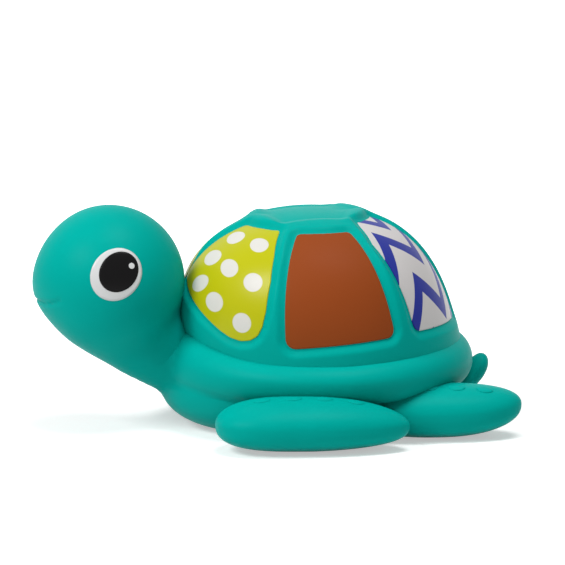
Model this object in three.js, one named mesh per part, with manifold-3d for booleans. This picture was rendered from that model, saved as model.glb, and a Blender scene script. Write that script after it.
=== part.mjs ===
// A turtle bath toy in soft vinyl, in millimetres, +Z up. The turtle looks along -X, and its left side is -Y.
// The origin is on the table, at the middle of the flat belly.
import * as THREE from "three";
import { mergeVertices } from "three/addons/utils/BufferGeometryUtils.js";
import Module from "manifold-3d";

const wasm = await Module();
wasm.setup();

// Fits: bonded pieces stand this far apart, and the turning neck and the stopper have a running gap
const BOND_GAP = 0.3;
const TURN_GAP = 0.4;
const WALL = 2.6;

// Belly: a bowl with a flat foot, drawn out to the front as a chest
const BELLY_FLAT_R = 25;
const BELLY_R = 39;
const BELLY_TOP_Z = 12.6;
const CHEST_REACH = 12.8;
const CHEST_NARROWING = 3;

// Rim: the fat roll round the foot of the shell
const RIM_R = 48;
const RIM_ROLL = 7.4;
const RIM_Z = 19.8;
const RIM_HALF_HEIGHT = 7.6;

// Shell: a high dome with a spigot that plugs into the rim
const DOME_R = 43.5;
const DOME_FOOT_Z = 26.4;
const DOME_TOP_Z = 67.4;
const DOME_POWER = 2.45;
const DOME_LEAN = 2;
const SPIGOT_STEP = 2.5;
const SPIGOT_R = DOME_R - SPIGOT_STEP;
const SPIGOT_LENGTH = 5.5;

// Scutes: the plan of the hexagon on top, and the corners of the left panels, each as degrees ahead of the
// left side and a share of the dome's height
const HEX_FRONT_X = -24.5;
const HEX_SHOULDER_X = -14.5;
const HEX_HIP_X = 8;
const HEX_REAR_X = 22.5;
const HEX_HALF_WIDTH = 15.5;
const FRONT_PANEL = [[36, 0.044], [32.5, 0.888], [82, 0.888], [88, 0.439]];
const MIDDLE_PANEL = [[-23.3, 0.146], [-18, 0.888], [23.6, 0.883], [24.4, 0.073]];
const REAR_PANEL = [[-87, 0.183], [-84, 0.927], [-26.5, 0.927], [-32.8, 0.168]];
const RIB_WIDTH = 6.4;
const PANEL_CORNER_R = 3;
const PANEL_SUNK = 1;
const PANEL_THICK = 1.4;
const HEX_SUNK = 0.7;

// Head: a ball on a round neck that plugs into the chest
const HEAD_R = 24;
const HEAD_X = -66.6;
const HEAD_Z = 46.4;
const JAW_TUCK = 2.2;
const NECK_SLOPE_DEG = 46;
const NECK_LENGTH = 34.2;
const NECK_ROOT_R = 13.4;
const NECK_TOP_R = 22.6;
const NECK_TOP_AT = 7.8;
const NECK_PLUG_R = 8.6;
const NECK_FLANGE_R = 10.6;
const NECK_FLANGE_THICK = 2;
const NECK_BORE_R = 5;
const MOUTH_GROOVE_R = 0.55;
const MOUTH_LEFT = [[-18.2, -15.6, -1.3], [-20.4, -12, -3.6], [-22.6, -6.5, -4.4]];
const MOUTH_MIDDLE = [-23.6, 0, -4.2];

// Eye: an oval white, a black pupil set in it and a round glint set in the pupil
const EYE_DEPTH = 1.6;
const EYE_AT = new THREE.Vector3(-0.35, -23, 5.3);
const EYE_TILT_DEG = 48;
const EYE_HALF = new THREE.Vector2(9.1, 7.9);
const PUPIL_HALF = new THREE.Vector2(6.9, 5.8);
const PUPIL_SHIFT = new THREE.Vector2(1.06, 0.8);
const PUPIL_DEPTH = 1;
const GLINT_R = 1.1;
const GLINT_SHIFT = new THREE.Vector2(4, 1.7);
const GLINT_DEPTH = 0.5;
const EYE_PROUD = 0.1;

// Flippers and tail: swollen lobes, bonded to the belly by round plugs
const FRONT_LOBE = {
  at: [-11, -BELLY_R - 8.6, 8.4],
  half: [29.4, 13.8, 8.1],
  yaw: -8,
  taper: 0.2,
  blunt: [0.72, 0.84],
  plugX: -15,
};
const REAR_LOBE = {
  at: [BELLY_R - 9, 6 - BELLY_R, 8.5],
  half: [26.4, 12.6, 8.2],
  yaw: -6,
  taper: 0.06,
  blunt: [0.85, 0.74],
  plugX: 18,
};
const LOBE_PLUG_R = 4;
const LOBE_PLUG_IN = 4;
const TAIL_ROOT = new THREE.Vector3(BELLY_R - 3, 0, 8);
const TAIL_BEND = new THREE.Vector3(BELLY_R + 9.4, 0, 8.6);
const TAIL_TIP = new THREE.Vector3(BELLY_R + 13.2, 0, 19.6);
const TAIL_HALF_WIDTH = 4.6;
const TAIL_HALF_THICK = 2.9;
const TAIL_BLUNT = 0.6;

// Stopper: the drain plug in the belly, with a thumbnail notch
const STOPPER_X = 13;
const STOPPER_HEAD_R = 7;
const STOPPER_HEAD_THICK = 1.8;
const STOPPER_STEM_R = 4;
const STOPPER_BEAD = 0.25;
const STOPPER_RECESS = 2.4;
const STOPPER_BOSS_R = 9.5;
const STOPPER_BOSS_Z = 6.4;
const STOPPER_STEM_TOP_Z = 9;
const NAIL_NOTCH_R = 2;

// How finely round forms are cut into facets
const ROUND = 32;
const COARSE = 24;
const DOME_ROWS = 8;

const toRadians = THREE.MathUtils.degToRad;
const vinyl = (color) => new THREE.MeshStandardMaterial({ color, roughness: 0.55, metalness: 0 });
const print = (color) => new THREE.MeshStandardMaterial({ color, roughness: 0.35, metalness: 0 });
const TEAL = vinyl(0x06b3a4);
const LIME = print(0xb9bd16);
const RUST = print(0x8f431d);
const WHITE = print(0xe4e2e4);
const BLACK = print(0x171416);
const GREY = vinyl(0xdfe3e2);

// Closed geometry as a solid that can be joined and cut
function solid(geometry) {
  const bare = geometry.clone();
  bare.deleteAttribute("normal");
  bare.deleteAttribute("uv");
  const merged = mergeVertices(bare, 1e-4);
  const corners = merged.index.array;
  const kept = [];
  for (let i = 0; i < corners.length; i += 3) {
    const [a, b, c] = corners.slice(i, i + 3);
    if (a !== b && b !== c && c !== a) kept.push(a, b, c);
  }
  return new wasm.Manifold(
    new wasm.Mesh({
      numProp: 3,
      vertProperties: merged.attributes.position.array,
      triVerts: new Uint32Array(kept),
    }),
  );
}

function named(name, made, material) {
  const { vertProperties, triVerts } = made.getMesh();
  const geometry = new THREE.BufferGeometry();
  geometry.setAttribute("position", new THREE.BufferAttribute(vertProperties, 3));
  geometry.setIndex(new THREE.BufferAttribute(triVerts, 1));
  geometry.computeVertexNormals();
  const mesh = new THREE.Mesh(geometry, material.clone());
  mesh.name = name;
  return mesh;
}

// A profile of [radius, height] points, turned about +Z
function turned(profile, segments = ROUND) {
  const points = profile.map(([r, z]) => new THREE.Vector2(r, z));
  return new THREE.LatheGeometry(points, segments).rotateX(Math.PI / 2);
}

// Moves every vertex of a geometry by a rule
function reshaped(geometry, rule) {
  const position = geometry.getAttribute("position");
  const p = new THREE.Vector3();
  for (let i = 0; i < position.count; i++) {
    p.fromBufferAttribute(position, i);
    rule(p);
    position.setXYZ(i, p.x, p.y, p.z);
  }
  return geometry;
}

// A round bar from one point to another
function bar(from, to, radius, segments = COARSE) {
  const along = new THREE.Vector3().subVectors(to, from);
  const geometry = new THREE.CylinderGeometry(radius, radius, along.length(), segments);
  const turn = new THREE.Quaternion().setFromUnitVectors(
    new THREE.Vector3(0, 1, 0),
    along.clone().normalize(),
  );
  const middle = from.clone().addScaledVector(along, 0.5);
  return geometry.applyQuaternion(turn).translate(middle.x, middle.y, middle.z);
}

// Points of an arc of an ellipse, between two angles in degrees
function arc(centre, half, fromDeg, toDeg, steps) {
  return Array.from({ length: steps + 1 }, (_, i) => {
    const angle = toRadians(fromDeg + ((toDeg - fromDeg) * i) / steps);
    return [centre[0] + half[0] * Math.cos(angle), centre[1] + half[1] * Math.sin(angle)];
  });
}

// The chest: the bowl reaches further out towards -X, and less as it rises to the rim
function withChest(p) {
  const r = Math.hypot(p.x, p.y);
  if (p.x >= 0 || r < 1e-6) return;
  const forward = Math.pow(-p.x / r, CHEST_NARROWING);
  const fade = 1 - THREE.MathUtils.smoothstep(p.z, BELLY_TOP_Z - 1, BELLY_TOP_Z + 3);
  const share = Math.min(1, r / BELLY_R);
  const stretch = 1 + (CHEST_REACH / r) * share * forward * fade;
  p.x *= stretch;
  p.y *= stretch;
}

// Outline of the belly and its rim from the foot up, grown outwards by a gap
function hullProfile(gap) {
  const bowlHalf = [BELLY_R - BELLY_FLAT_R + gap, BELLY_TOP_Z];
  const bowl = arc([BELLY_FLAT_R, BELLY_TOP_Z - gap], bowlHalf, -90, 0, 5);
  const rollHalf = [RIM_ROLL + gap, RIM_HALF_HEIGHT + gap];
  const roll = arc([RIM_R - RIM_ROLL, RIM_Z], rollHalf, -78, 80, 7);
  return [[0, -gap], ...bowl, ...roll];
}

function hullEnvelope(gap) {
  const top = RIM_Z + RIM_HALF_HEIGHT + gap;
  return solid(reshaped(turned([...hullProfile(gap), [0, top]]), withChest));
}

// The dome, drawn in by an inset, down to a given height
function domeProfile(inset, footZ) {
  const radius = DOME_R - inset;
  const height = DOME_TOP_Z - DOME_FOOT_Z - inset;
  const curve = Array.from({ length: DOME_ROWS + 1 }, (_, i) => {
    const angle = (Math.PI / 2) * (i / DOME_ROWS);
    const r = radius * Math.pow(Math.cos(angle), 2 / DOME_POWER);
    const z = height * Math.pow(Math.sin(angle), 2 / DOME_POWER);
    return [i === DOME_ROWS ? 0 : r, DOME_FOOT_Z + z];
  });
  return footZ < DOME_FOOT_Z ? [[0, footZ], [radius, footZ], ...curve] : [[0, DOME_FOOT_Z], ...curve];
}

// The top of the dome leans towards the head
function leaning(p) {
  const rise = Math.max(0, p.z - DOME_FOOT_Z) / (DOME_TOP_Z - DOME_FOOT_Z);
  p.x -= DOME_LEAN * rise;
}

function dome(inset, footZ = DOME_FOOT_Z, segments = ROUND) {
  return solid(reshaped(turned(domeProfile(inset, footZ), segments), leaning));
}

// A shape with straight sides and rounded corners, each corner drawn in along its two sides
function roundedShape(corners, radius) {
  const shape = new THREE.Shape();
  corners.forEach((corner, i) => {
    const before = corners[(i + corners.length - 1) % corners.length];
    const after = corners[(i + 1) % corners.length];
    const start = corner.clone().lerp(before, radius / corner.distanceTo(before));
    const end = corner.clone().lerp(after, radius / corner.distanceTo(after));
    if (i === 0) shape.moveTo(start.x, start.y);
    else shape.lineTo(start.x, start.y);
    shape.quadraticCurveTo(corner.x, corner.y, end.x, end.y);
  });
  shape.closePath();
  return shape;
}

// Corners of a convex outline, moved inwards by a distance from each side
function drawnIn(corners, distance) {
  const sides = corners.map((corner, i) => {
    const next = corners[(i + 1) % corners.length];
    const along = next.clone().sub(corner).normalize();
    const inwards = new THREE.Vector2(-along.y, along.x).multiplyScalar(distance);
    return { point: corner.clone().add(inwards), along };
  });
  return sides.map((side, i) => {
    const last = sides[(i + sides.length - 1) % sides.length];
    const gap = side.point.clone().sub(last.point);
    const t = gap.cross(side.along) / last.along.cross(side.along);
    return last.point.clone().addScaledVector(last.along, t);
  });
}

// The wedge that a left panel is cut with, less a gap: its outline, wrapped round the axis of the shell
function panelWedge(corners, gap) {
  const height = DOME_TOP_Z - DOME_FOOT_Z;
  const flat = corners.map(([deg, share]) => {
    return new THREE.Vector2(-toRadians(deg) * DOME_R, DOME_FOOT_Z + share * height);
  });
  const shape = roundedShape(drawnIn(flat, gap), PANEL_CORNER_R);
  const depth = DOME_R;
  const wedge = new THREE.ExtrudeGeometry(shape, { depth, bevelEnabled: false, curveSegments: 3 });
  return solid(reshaped(wedge, (p) => {
    const angle = p.x / DOME_R;
    const reach = DOME_R / 2 + p.z;
    p.set(reach * Math.sin(angle), -reach * Math.cos(angle), p.y);
  }));
}

function hexPrism() {
  const outline = [
    [HEX_FRONT_X, 0],
    [HEX_SHOULDER_X, -HEX_HALF_WIDTH],
    [HEX_HIP_X, -HEX_HALF_WIDTH],
    [HEX_REAR_X, 0],
    [HEX_HIP_X, HEX_HALF_WIDTH],
    [HEX_SHOULDER_X, HEX_HALF_WIDTH],
  ].map(([x, y]) => new THREE.Vector2(x, y));
  const shape = roundedShape(drawnIn(outline, RIB_WIDTH / 2), PANEL_CORNER_R);
  const prism = new THREE.ExtrudeGeometry(shape, { depth: DOME_R, bevelEnabled: false, curveSegments: 3 });
  return solid(prism.translate(0, 0, DOME_TOP_Z - 3 * WALL));
}

const headAt = new THREE.Vector3(HEAD_X, 0, HEAD_Z);
const neckDown = new THREE.Vector3(
  Math.cos(toRadians(NECK_SLOPE_DEG)),
  0,
  -Math.sin(toRadians(NECK_SLOPE_DEG)),
);
const neckPoint = (distance) => headAt.clone().addScaledVector(neckDown, distance);

// Turns a profile of [radius, distance from the head's middle] about the neck's axis
function onNeck(profile, segments = COARSE) {
  const turn = new THREE.Quaternion().setFromUnitVectors(new THREE.Vector3(0, 0, 1), neckDown);
  return turned(profile, segments).applyQuaternion(turn).translate(headAt.x, headAt.y, headAt.z);
}

// How far the jaw is tucked in below the mouth, for a direction from the head's middle
function jawTuck(direction) {
  const chin = new THREE.Vector3(-0.8, 0, -0.6);
  return JAW_TUCK * Math.pow(Math.max(0, direction.dot(chin)), 6);
}

function headBall(radius, segments, rows) {
  const ball = new THREE.SphereGeometry(radius, segments, rows).rotateX(Math.PI / 2);
  return reshaped(ball, (p) => {
    const direction = p.clone().normalize();
    p.addScaledVector(direction, -jawTuck(direction));
  }).translate(headAt.x, headAt.y, headAt.z);
}

// A thin groove along a curve on the face, from the front of the lips to the left corner of the mouth
function mouthGroove() {
  const onFace = (x, y, z) => {
    const direction = new THREE.Vector3(x, y, z).normalize();
    return direction.clone().multiplyScalar(HEAD_R - jawTuck(direction)).add(headAt);
  };
  const half = MOUTH_LEFT.map((place) => onFace(...place));
  const mirrored = half.map((p) => new THREE.Vector3(p.x, -p.y, p.z)).reverse();
  const curve = new THREE.CatmullRomCurve3([...half, onFace(...MOUTH_MIDDLE), ...mirrored]);
  const section = new THREE.Shape().absarc(0, 0, MOUTH_GROOVE_R, 0, 2 * Math.PI);
  return solid(new THREE.ExtrudeGeometry(section, { steps: 16, extrudePath: curve, curveSegments: 3 }));
}

// An oval prism through the left eye, shifted and drawn in on the plane that touches the head there
function eyePrism(half, shift, gap) {
  const out = EYE_AT.clone().normalize();
  const wide = new THREE.Vector3(0, 0, 1).cross(out).normalize();
  const frame = new THREE.Matrix4().makeBasis(wide, out.clone().cross(wide), out);
  frame.setPosition(headAt.clone().addScaledVector(out, HEAD_R / 2));
  const tilt = toRadians(EYE_TILT_DEG);
  const shape = new THREE.Shape();
  shape.absellipse(shift.x, shift.y, half.x + gap, half.y + gap, 0, 2 * Math.PI, false, tilt);
  const prism = new THREE.ExtrudeGeometry(shape, { depth: HEAD_R, bevelEnabled: false, curveSegments: 7 });
  return solid(prism.applyMatrix4(frame));
}

// The layers of the left eye, from the white at the bottom to the glint on top
const noShift = new THREE.Vector2();
const glintHalf = new THREE.Vector2(GLINT_R, GLINT_R);
const glintShift = PUPIL_SHIFT.clone().add(GLINT_SHIFT);
const eyeLayers = [
  { name: "white", half: EYE_HALF, shift: noShift, depth: EYE_DEPTH, material: WHITE },
  { name: "pupil", half: PUPIL_HALF, shift: PUPIL_SHIFT, depth: PUPIL_DEPTH, material: BLACK },
  { name: "glint", half: glintHalf, shift: glintShift, depth: GLINT_DEPTH, material: WHITE },
];

// A seat for a layer, as deep as it goes and wider by the bonding gap
const eyeSeat = ({ half, shift, depth }) =>
  eyePrism(half, shift, BOND_GAP).subtract(solid(headBall(HEAD_R - depth, COARSE, 16)));

function eyeLayer(i) {
  const { half, shift, depth } = eyeLayers[i];
  const face = solid(headBall(HEAD_R + EYE_PROUD * (i + 1), ROUND, 20));
  const floor = solid(headBall(HEAD_R - depth + BOND_GAP, COARSE, 16));
  const disc = eyePrism(half, shift, 0).intersect(face).subtract(floor);
  return i + 1 < eyeLayers.length ? disc.subtract(eyeSeat(eyeLayers[i + 1])) : disc;
}

// Mirrors a solid to the other side of the turtle
function otherSide(made) {
  const { vertProperties, triVerts } = made.getMesh();
  const points = vertProperties.map((value, i) => (i % 3 === 1 ? -value : value));
  const faces = triVerts.map((_, i) => triVerts[i - (i % 3) + [0, 2, 1][i % 3]]);
  return new wasm.Manifold(new wasm.Mesh({ numProp: 3, vertProperties: points, triVerts: faces }));
}

const bothSides = (made) => made.add(otherSide(made));

// A lobe: a swollen oval, fuller towards the head, with its own bluntness at the head end and at the tip
function lobe({ at, half, yaw, taper, blunt }) {
  const ball = new THREE.SphereGeometry(1, 20, 12).rotateZ(-Math.PI / 2);
  return reshaped(ball, (p) => {
    const narrow = 1 - taper * p.x;
    const reach = Math.sign(p.x) * Math.pow(Math.abs(p.x), blunt[p.x < 0 ? 0 : 1]);
    p.set(reach * half[0], p.y * half[1] * narrow, p.z * half[2] * Math.min(1, narrow));
  })
    .rotateZ(toRadians(yaw))
    .translate(...at);
}

// The plug of a lobe, from inside the lobe to inside the belly
function lobePlug({ at, plugX }, radius) {
  const inside = new THREE.Vector3(plugX, -BELLY_R + LOBE_PLUG_IN + 2 * radius, at[2]);
  return solid(bar(inside, new THREE.Vector3(plugX, at[1], at[2]), radius, 20));
}

// The tail: a tongue swept along a bent line, widest past the bend
function tailTongue() {
  const line = new THREE.QuadraticBezierCurve3(TAIL_ROOT, TAIL_BEND, TAIL_TIP);
  const ball = new THREE.SphereGeometry(1, 14, 10).rotateZ(-Math.PI / 2);
  return reshaped(ball, (p) => {
    const share = (Math.sign(p.x) * Math.pow(Math.abs(p.x), TAIL_BLUNT) + 1) / 2;
    const at = line.getPoint(share);
    const along = line.getTangent(share);
    const across = new THREE.Vector3(-along.z, 0, along.x);
    const [y, lift] = [p.y * TAIL_HALF_WIDTH, p.z * TAIL_HALF_THICK];
    p.copy(at).addScaledVector(across, lift).setY(y);
  });
}

// Stopper seen from below: a disc head in its recess, and a stem with a bead that snaps past the boss
function stopperProfile(gap) {
  const headFace = gap > 0 ? -WALL : STOPPER_RECESS - STOPPER_HEAD_THICK - BOND_GAP;
  const headBack = gap > 0 ? STOPPER_RECESS : headFace + STOPPER_HEAD_THICK;
  const beadZ = STOPPER_BOSS_Z + TURN_GAP + STOPPER_BEAD;
  const top = gap > 0 ? STOPPER_BOSS_Z + WALL : STOPPER_STEM_TOP_Z;
  const bead = [
    [STOPPER_STEM_R, beadZ - STOPPER_BEAD],
    [STOPPER_STEM_R + STOPPER_BEAD, beadZ],
    [STOPPER_STEM_R, beadZ + STOPPER_BEAD],
  ];
  return [
    [0, headFace],
    [STOPPER_HEAD_R + gap, headFace],
    [STOPPER_HEAD_R + gap, headBack],
    [STOPPER_STEM_R + gap, headBack],
    ...(gap > 0 ? [] : bead),
    [STOPPER_STEM_R + gap, top],
    [0, top],
  ];
}

const panels = [
  { place: "front", corners: FRONT_PANEL, material: LIME },
  { place: "middle", corners: MIDDLE_PANEL, material: RUST },
  { place: "rear", corners: REAR_PANEL, material: WHITE },
];

// Body pieces
const filledHull = hullEnvelope(0);
const grownHull = hullEnvelope(BOND_GAP);
const seatZ = DOME_FOOT_Z - SPIGOT_LENGTH - BOND_GAP;
const neckHole = solid(
  onNeck([
    [0, NECK_TOP_AT],
    [NECK_TOP_R + TURN_GAP, NECK_TOP_AT],
    [NECK_ROOT_R + TURN_GAP, NECK_LENGTH],
    [NECK_ROOT_R + TURN_GAP, NECK_LENGTH + TURN_GAP],
    [0, NECK_LENGTH + TURN_GAP],
  ]),
);

const flangeAt = NECK_LENGTH + TURN_GAP + WALL;
const flangeEnd = flangeAt + NECK_FLANGE_THICK + 2 * WALL;
const flangeRoom = solid(bar(neckPoint(flangeAt), neckPoint(flangeEnd), NECK_FLANGE_R + 2 * TURN_GAP));

function bellyHull() {
  const inner = hullProfile(-WALL).filter(([, z]) => z < seatZ - WALL);
  const mouth = [[SPIGOT_R - WALL, seatZ - WALL], [SPIGOT_R - WALL, seatZ + WALL], [0, seatZ + WALL]];
  const cavity = solid(reshaped(turned([...inner, ...mouth]), withChest));
  const collar = solid(turned([
    [0, seatZ],
    [SPIGOT_R + BOND_GAP, seatZ],
    [SPIGOT_R + BOND_GAP, DOME_FOOT_Z],
    [DOME_R + BOND_GAP, DOME_FOOT_Z - BOND_GAP],
    [DOME_R + BOND_GAP, DOME_TOP_Z],
    [0, DOME_TOP_Z],
  ]));
  const boss = solid(bar(
    new THREE.Vector3(STOPPER_X, 0, WALL / 2),
    new THREE.Vector3(STOPPER_X, 0, STOPPER_BOSS_Z),
    STOPPER_BOSS_R,
  ));
  const stopperHole = solid(turned(stopperProfile(TURN_GAP), COARSE).translate(STOPPER_X, 0, 0));
  const plate = solid(onNeck([
    [0, NECK_LENGTH + TURN_GAP],
    [NECK_ROOT_R + WALL, NECK_LENGTH + TURN_GAP],
    [NECK_ROOT_R + WALL, NECK_LENGTH + TURN_GAP + WALL],
    [0, NECK_LENGTH + TURN_GAP + WALL],
  ]));
  const plugHole = solid(bar(
    neckPoint(NECK_LENGTH - WALL),
    neckPoint(NECK_LENGTH + 3 * WALL),
    NECK_PLUG_R + TURN_GAP,
  ));
  const room = filledHull.add(dome(WALL + BOND_GAP, seatZ));
  const sockets = [FRONT_LOBE, REAR_LOBE].map((flipper) => lobePlug(flipper, LOBE_PLUG_R + BOND_GAP));
  let hull = filledHull.subtract(collar).subtract(cavity).add(boss);
  hull = hull.subtract(neckHole).add(plate.intersect(room)).subtract(plugHole).subtract(flangeRoom);
  for (const socket of sockets) hull = hull.subtract(bothSides(socket));
  return hull.subtract(stopperHole).subtract(tailPlug(LOBE_PLUG_R / 2 + BOND_GAP));
}

function tailPlug(radius) {
  const inside = TAIL_ROOT.clone().setX(BELLY_R - LOBE_PLUG_IN - 2 * radius);
  return solid(bar(inside, TAIL_ROOT.clone().setX(TAIL_ROOT.x + LOBE_PLUG_IN), radius, 16));
}

function carapace() {
  const spigot = solid(turned([
    [0, DOME_FOOT_Z - SPIGOT_LENGTH],
    [SPIGOT_R, DOME_FOOT_Z - SPIGOT_LENGTH],
    [SPIGOT_R, DOME_FOOT_Z + WALL],
    [0, DOME_FOOT_Z + WALL],
  ]));
  const pocketFloor = dome(PANEL_SUNK + PANEL_THICK);
  const hexFloor = dome(HEX_SUNK);
  const inside = dome(PANEL_SUNK + PANEL_THICK + WALL, DOME_FOOT_Z - 2 * SPIGOT_LENGTH);
  let shell = dome(0).add(spigot).subtract(inside).subtract(hexPrism().subtract(hexFloor));
  for (const { corners } of panels) {
    const pocket = panelWedge(corners, 0).subtract(pocketFloor);
    shell = shell.subtract(bothSides(pocket));
  }
  const plateRoom = solid(bar(
    neckPoint(NECK_LENGTH),
    neckPoint(NECK_LENGTH + 2 * TURN_GAP + WALL),
    NECK_ROOT_R + WALL + BOND_GAP,
  ));
  return shell.subtract(neckHole).subtract(plateRoom).subtract(flangeRoom);
}

function panel(corners) {
  const floor = dome(PANEL_SUNK + PANEL_THICK - BOND_GAP);
  return panelWedge(corners, BOND_GAP).intersect(dome(PANEL_SUNK)).subtract(floor).subtract(neckHole);
}

function head() {
  const plugEnd = NECK_LENGTH + WALL + 2 * TURN_GAP + NECK_FLANGE_THICK;
  const neck = solid(onNeck([
    [0, 0],
    [HEAD_R - WALL, 0],
    [NECK_TOP_R, NECK_TOP_AT],
    [NECK_ROOT_R, NECK_LENGTH],
    [NECK_PLUG_R, NECK_LENGTH],
    [NECK_PLUG_R, plugEnd - NECK_FLANGE_THICK],
    [NECK_FLANGE_R, plugEnd - NECK_FLANGE_THICK],
    [NECK_FLANGE_R - NECK_FLANGE_THICK / 2, plugEnd],
    [0, plugEnd],
  ]));
  const hollow = solid(onNeck([
    ...arc([0, 0], [HEAD_R - 2 * WALL, HEAD_R - 2 * WALL], -90, 0, 6),
    [NECK_ROOT_R - WALL, NECK_LENGTH - WALL],
    [NECK_BORE_R, NECK_LENGTH],
    [NECK_BORE_R, plugEnd + WALL],
    [0, plugEnd + WALL],
  ], 20));
  const ball = solid(headBall(HEAD_R, ROUND, 20));
  return ball.add(neck).subtract(hollow).subtract(mouthGroove()).subtract(bothSides(eyeSeat(eyeLayers[0])));
}

function flipper(shape) {
  return solid(lobe(shape)).subtract(grownHull).add(lobePlug(shape, LOBE_PLUG_R));
}

function stopper() {
  const notch = solid(bar(
    new THREE.Vector3(STOPPER_X + STOPPER_HEAD_R, -STOPPER_HEAD_R, 0),
    new THREE.Vector3(STOPPER_X + STOPPER_HEAD_R, STOPPER_HEAD_R, 0),
    NAIL_NOTCH_R,
    12,
  ));
  return solid(turned(stopperProfile(0), COARSE).translate(STOPPER_X, 0, 0)).subtract(notch);
}

// The left piece and its mirror image
function pair(name, left, material) {
  return [named(`${name}_left`, left, material), named(`${name}_right`, otherSide(left), material)];
}

// The assembly
const turtle = new THREE.Group();
turtle.add(named("belly_hull", bellyHull(), TEAL), named("carapace", carapace(), TEAL));

panels.forEach(({ place, corners, material }) => {
  turtle.add(...pair(`panel_${place}`, panel(corners), material));
});

for (const [place, shape] of [["front", FRONT_LOBE], ["rear", REAR_LOBE]]) {
  turtle.add(...pair(`flipper_${place}`, flipper(shape), TEAL));
}
const tail = solid(tailTongue()).subtract(grownHull).add(tailPlug(LOBE_PLUG_R / 2));
turtle.add(named("tail", tail, TEAL), named("drain_stopper", stopper(), GREY));

const headGroup = new THREE.Group();
headGroup.add(named("head", head(), TEAL));
eyeLayers.forEach(({ name, material }, i) => {
  headGroup.add(...pair(`eye_${name}`, eyeLayer(i), material));
});
turtle.add(headGroup);

export default turtle;
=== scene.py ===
# %% [markdown]
# # A turtle bath toy in soft vinyl
# The toy is a hollow turtle: a belly with a fat rim, a high shell with printed panels, a ball head on a
# round neck, four flippers and a tail. The solids from the drawing are loaded first, and every visible
# piece is then made again as a smooth skin of the same form, in the same place.

# %% Load the drawing
import math

import bmesh
import bpy
import numpy as np
from mathutils import Matrix, Vector
from mathutils.kdtree import KDTree


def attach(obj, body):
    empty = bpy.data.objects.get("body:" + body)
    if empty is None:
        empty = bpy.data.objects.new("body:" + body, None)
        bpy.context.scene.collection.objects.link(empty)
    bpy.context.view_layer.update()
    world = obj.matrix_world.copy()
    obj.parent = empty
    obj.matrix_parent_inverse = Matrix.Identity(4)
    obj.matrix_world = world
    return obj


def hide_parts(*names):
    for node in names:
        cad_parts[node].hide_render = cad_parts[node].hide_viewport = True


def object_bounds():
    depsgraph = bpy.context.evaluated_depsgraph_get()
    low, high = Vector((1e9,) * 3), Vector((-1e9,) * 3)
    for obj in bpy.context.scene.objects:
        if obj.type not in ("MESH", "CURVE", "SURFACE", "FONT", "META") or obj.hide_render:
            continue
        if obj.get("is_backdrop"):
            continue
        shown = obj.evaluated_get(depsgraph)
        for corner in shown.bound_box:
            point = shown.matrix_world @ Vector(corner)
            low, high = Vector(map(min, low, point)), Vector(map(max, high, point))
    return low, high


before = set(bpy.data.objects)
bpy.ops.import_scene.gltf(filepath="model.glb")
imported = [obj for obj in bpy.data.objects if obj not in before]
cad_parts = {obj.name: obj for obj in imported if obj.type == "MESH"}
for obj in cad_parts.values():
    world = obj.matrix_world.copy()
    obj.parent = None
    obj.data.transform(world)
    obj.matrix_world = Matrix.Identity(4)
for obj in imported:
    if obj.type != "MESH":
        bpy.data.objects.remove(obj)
cad_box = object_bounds()
scene = bpy.context.scene
MM = 0.001

# %% [markdown]
# ## Helpers for smooth skins
# Each skin is a grid of points worked out by a rule in millimetres. One helper joins the rows of a grid
# with quads and closes its ends. Another hangs the finished piece on the body that it moves with, and a
# third makes the same piece for the left and the right.


# %% Skins from grids
def grid_faces(rows, columns):
    """Quads between the rows of a grid whose columns run round a closed loop."""
    faces = []
    for row in range(rows - 1):
        for column in range(columns):
            after = (column + 1) % columns
            low, high = row * columns, (row + 1) * columns
            faces.append((low + column, low + after, high + after, high + column))
    return faces


def closed_skin(grid):
    """Points and faces of a grid of rows, with its first and last row drawn to a point."""
    rows, columns, _ = grid.shape
    points = np.vstack([grid.reshape(-1, 3), grid[0].mean(0), grid[-1].mean(0)])
    faces = grid_faces(rows, columns)
    first, last = rows * columns, rows * columns + 1
    top = (rows - 1) * columns
    for column in range(columns):
        after = (column + 1) % columns
        faces.append((first, after, column))
        faces.append((last, top + column, top + after))
    return points, faces


def turned_over(faces):
    """The same faces, pointing the other way."""
    return [tuple(reversed(face)) for face in faces]


# %% Pieces on their bodies
def make_piece(name, points, faces, material, body, nodes, slot, flat_map=None):
    """A smooth piece from points in millimetres, riding on a body in place of CAD nodes."""
    mesh = bpy.data.meshes.new(name)
    mesh.from_pydata((np.asarray(points) * MM).tolist(), [], faces)
    mesh.validate()
    mesh.shade_smooth()
    if flat_map is not None:
        layer = mesh.uv_layers.new(name="print")
        corners = np.empty(len(mesh.loops), dtype=np.int32)
        mesh.loops.foreach_get("vertex_index", corners)
        layer.uv.foreach_set("vector", np.asarray(flat_map, dtype=np.float32)[corners].ravel())
    mesh.materials.append(material)
    piece = bpy.data.objects.new(name, mesh)
    scene.collection.objects.link(piece)
    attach(piece, body)
    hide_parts(*nodes)
    print(name, len(mesh.vertices), "points")


def make_pair(stem, ending, points, faces, material, body, slot, flat_map=None, redraws=True):
    """A piece on the left and its mirror image on the right. Each redraws the CAD node of its stem."""
    pair = {"left": (points, faces), "right": (points * (1, -1, 1), turned_over(faces))}
    for side, skin in pair.items():
        node = f"{stem}_{side}"
        nodes = [node] if redraws else []
        make_piece(node + ending, *skin, material, body, nodes, slot, flat_map)


# %% [markdown]
# ## Finishes
# The body is teal vinyl with a satin skin, which lets a little light in. The panels and the eyes are
# printed with inks, some glossier than the vinyl and some duller. A plain colour would do from afar.
# Close up, the skin of a casting varies, so each finish is a small node tree: its colour changes
# faintly, and a fine noise breaks the shine.


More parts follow.
